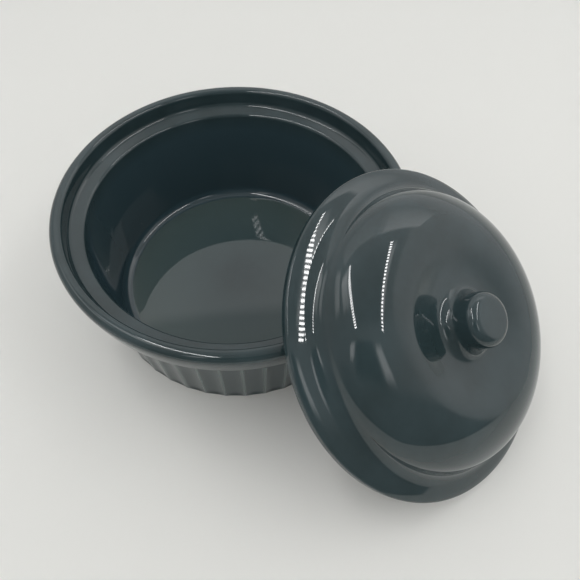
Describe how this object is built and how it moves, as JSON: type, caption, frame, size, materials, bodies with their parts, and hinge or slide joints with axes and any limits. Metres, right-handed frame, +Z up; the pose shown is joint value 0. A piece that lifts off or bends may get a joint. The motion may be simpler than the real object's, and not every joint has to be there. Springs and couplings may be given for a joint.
{
  "type": "lidded ramekin",
  "caption": "Round fluted stoneware ramekin with an inner ledge, its domed and knobbed lid lifted off and leaning on the rim; bakes food and serves it at the table.",
  "frame": {"origin": "On the table, under the middle of the footprint that the dish and the leaning lid share.", "axes": "+Z up from the table, +X from the dish towards the leaning lid, +Y across both."},
  "size_m": [0.2348, 0.16, 0.0895],
  "materials": {
    "dish_glaze": "glossy dark slate-green glaze",
    "lid_glaze": "glossy dark slate-green glaze"
  },
  "bodies": {
    "dish": {"dish": "dish_glaze"},
    "lid": {"lid": "lid_glaze"}
  },
  "joints": [
    {"name": "lid_lift", "type": "slide", "parent": "dish", "child": "lid", "axis": [0, 0, 1], "range_m": [0, 0.09]}
  ]
}
